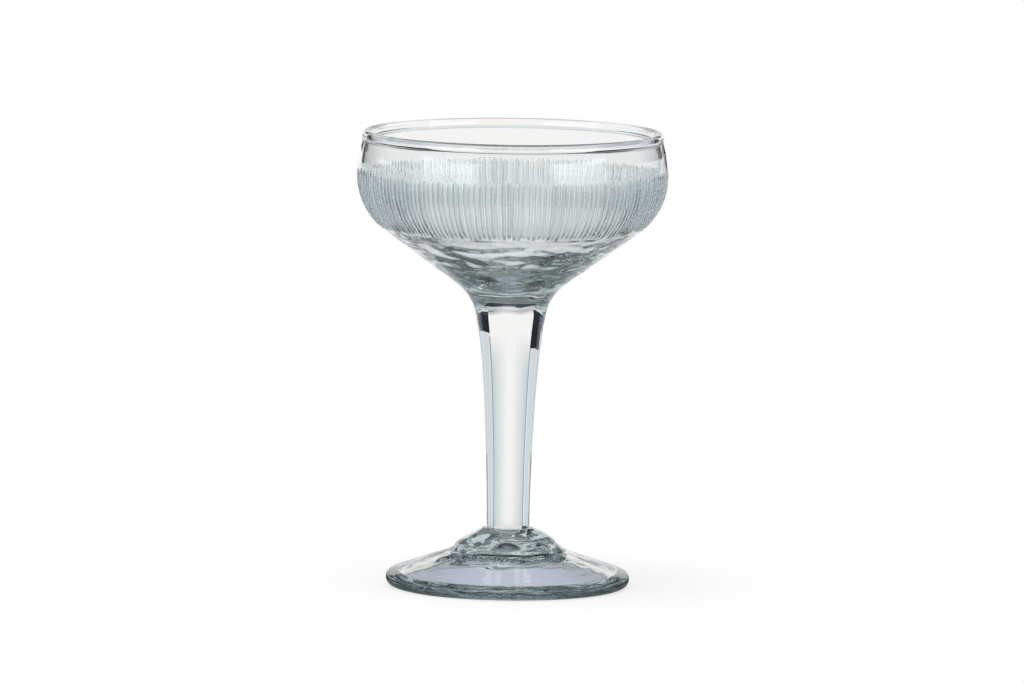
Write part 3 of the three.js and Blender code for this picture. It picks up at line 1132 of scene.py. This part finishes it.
def lay_cards(stage, turntable):
    """Cards that shape the glass, their angles in degrees from straight behind it"""
    edge = math.degrees(stage.card_angle)
    line_end = edge + 2
    strip_end = edge + 4.5
    # Distances from the axis. Walls that overlap stand a little apart.
    hollow, near, rim_flag, flag, card = 0.033, 0.045, 0.1, 0.3, 0.6
    front_box, room, dark_room, side_room, front = 0.74, 0.75, 0.751, 0.752, 1.2
    white = card_white(stage)
    table = glow("table_grey", stage.table)
    side = glow("side_grey", stage.side)
    dark = glow("unlit_room", stage.dark)
    rule = glow("card_edge", stage.line)
    pale = glow("pale_strip", stage.pale)
    for sheet in (white, table, side, dark, rule, pale):
        shade_near(sheet, stage)
    softbox = glow("front_softbox", stage.pale, stage.front_light)
    right_low, left_low = (0.126, 0.18), (0.125, 0.093)  # heights of the pale part of the side walls
    cards = (
        ("under_foot", sector(0.0, hollow, 0, 360, 48), glow("under_grey", stage.under)),
        ("under_edge", sector(hollow, near, 0, 360, 48), glow("edge_shade", stage.edge_shade)),
        ("white_sheet", sector(near, card, -edge, edge), white),
        ("white_card", wall(card, -edge, edge, 0.0, 0.22), white),
        ("edge_sheet_right", sector(near, card, edge, line_end), rule),
        ("edge_card_right", wall(card, edge, line_end, 0.0, 0.11), rule),
        ("edge_sheet_left", sector(near, card, -line_end, -edge), rule),
        ("edge_card_left", wall(card, -line_end, -edge, 0.0, 0.09), rule),
        ("pale_sheet_left", sector(near, card, -strip_end, -line_end), pale),
        ("pale_card_left", wall(card, -strip_end, -line_end, 0.0, 0.09), pale),
        ("table_sheet_right", sector(near, room, line_end, 64), table),
        ("table_sheet_left", sector(near, room, -62, -strip_end), table),
        ("dark_sheet_right", sector(near, room, 64, 72), dark),
        ("side_sheet_right", sector(near, room, 72, 120), side),
        ("side_sheet_left", sector(near, room, -120, -62), side),
        ("table_front", sector(near, front, 120, 240), side),
        ("low_wall_right", wall(room, edge, 60, 0.0, right_low), table),
        ("low_wall_left", wall(room, -62, -edge, 0.0, left_low), table),
        ("dark_wall_right", wall(dark_room, edge, 62, right_low, 0.35), dark),
        ("dark_wall_left", wall(dark_room, -62, -edge, left_low, 0.35), dark),
        ("pale_flag", wall(flag, -7.5, 7.5, 0.225, 0.36), pale),
        ("dark_flag_right", wall(flag, 7.5, edge, 0.20, 0.30), dark),
        ("dark_flag_left", wall(flag, -edge, -7.5, 0.20, 0.30), dark),
        ("softbox_right", wall(room, 25, 60, 0.36, 0.98), pale),
        ("softbox_left", wall(room, -60, -25, 0.36, 0.98), pale),
        ("rim_flag_right", wall(rim_flag, 43, 50, 0.127, 0.152), dark),
        ("rim_flag_left", wall(rim_flag, -50, -43, 0.138, 0.152), dark),
        ("side_wall_right", wall(side_room, 60, 120, 0.2, 0.42), side),
        ("side_wall_left", wall(side_room, -120, -62, 0.2, 0.42), side),
        ("low_side_right", wall(side_room, 60, 120, 0.0, 0.2), table),
        ("low_side_left", wall(side_room, -120, -62, 0.0, 0.2), table),
        ("front_wall", wall(front, 120, 240, 0.0, 1.4), glow("front_room", stage.front)),
        ("front_softbox_right", wall(front_box, 108, 150, 0.02, 0.34), softbox),
        ("front_softbox_left", wall(front_box, -155, -109, 0.02, 0.34), softbox),
    )
    for name, (places, faces), material in cards:
        add_card(name, places, faces, material, turntable)


def hang_lamp():
    """One soft lamp overhead that lights the floor, and that neither the camera nor glass sees"""
    lamp = bpy.data.lights.new("overhead_lamp", "AREA")
    lamp.size = LAMP_SIZE
    lamp.energy = LAMP_POWER
    light = bpy.data.objects.new("overhead_lamp", lamp)
    light.location = LAMP_PLACE
    light.rotation_euler = (-light.location).to_track_quat("-Z", "Y").to_euler()
    light.visible_camera = False
    light.visible_glossy = False
    light.visible_transmission = False
    bpy.context.scene.collection.objects.link(light)


def stand_turntable(camera):
    """A turntable under the set that keeps facing the camera"""
    turntable = bpy.data.objects.new("set_turntable", None)
    bpy.context.scene.collection.objects.link(turntable)
    follow = turntable.constraints.new("LOCKED_TRACK")
    follow.target = camera
    follow.track_axis = "TRACK_NEGATIVE_Y"
    follow.lock_axis = "LOCK_Z"
    return turntable


class COUPE_OT_stage(bpy.types.Operator):
    """Set the camera, the floor, the cards and the light"""

    bl_idname = "coupe.stage"
    bl_label = "Stage"

    def execute(self, context):
        stage = context.scene.coupe.stage
        context.scene.view_settings.view_transform = "Standard"
        # Light that is caught in the glass goes round many times before it comes out.
        for path in ("max_bounces", "glossy_bounces", "transmission_bounces"):
            setattr(context.scene.cycles, path, stage.bounces)
        camera = aim_camera(stage)
        light_world()
        quarters = ((-1, -1), (1, -1), (1, 1), (-1, 1))
        corners = [(x * FLOOR_REACH, y * FLOOR_REACH, FLOOR_HEIGHT) for x, y in quarters]
        add_mesh("floor", corners, [(0, 1, 2, 3)], floor_material(stage))
        lay_cards(stage, stand_turntable(camera))
        hang_lamp()
        return {"FINISHED"}


class COUPE_PT_sidebar(bpy.types.Panel):
    """Lists the makers of the coupe's pieces and their sizes"""

    bl_idname = "COUPE_PT_sidebar"
    bl_label = "Etched champagne coupe"
    bl_space_type = "VIEW_3D"
    bl_region_type = "UI"
    bl_category = "Coupe"

    def draw(self, context):
        coupe = context.scene.coupe
        for maker, groups in MAKERS:
            box = self.layout.box()
            box.operator(maker.bl_idname)
            for group in groups:
                settings = getattr(coupe, group)
                for name in settings.bl_rna.properties.keys():
                    if name not in {"name", "rna_type"}:
                        box.prop(settings, name)


MAKERS = (
    (COUPE_OT_stage, ("stage",)),
    (COUPE_OT_foot, ("foot",)),
    (COUPE_OT_button, ("button",)),
    (COUPE_OT_stem, ("stem",)),
    (COUPE_OT_collar, ("collar",)),
    (COUPE_OT_bowl, ("bowl", "etch", "glass")),
)

CLASSES = (
    BowlSizes,
    EtchSizes,
    CollarSizes,
    StemSizes,
    ButtonSizes,
    FootSizes,
    GlassFinish,
    StageSettings,
    CoupeSettings,
    *(maker for maker, _ in MAKERS),
    COUPE_PT_sidebar,
)


def register():
    for kind in CLASSES:
        bpy.utils.register_class(kind)
    bpy.types.Scene.coupe = bpy.props.PointerProperty(type=CoupeSettings)


def unregister():
    del bpy.types.Scene.coupe
    for kind in reversed(CLASSES):
        bpy.utils.unregister_class(kind)


def main():
    register()
    bpy.ops.coupe.stage()
    bpy.ops.coupe.foot()
    bpy.ops.coupe.button()
    bpy.ops.coupe.stem()
    bpy.ops.coupe.collar()
    bpy.ops.coupe.bowl()


if __name__ == "__main__":
    main()
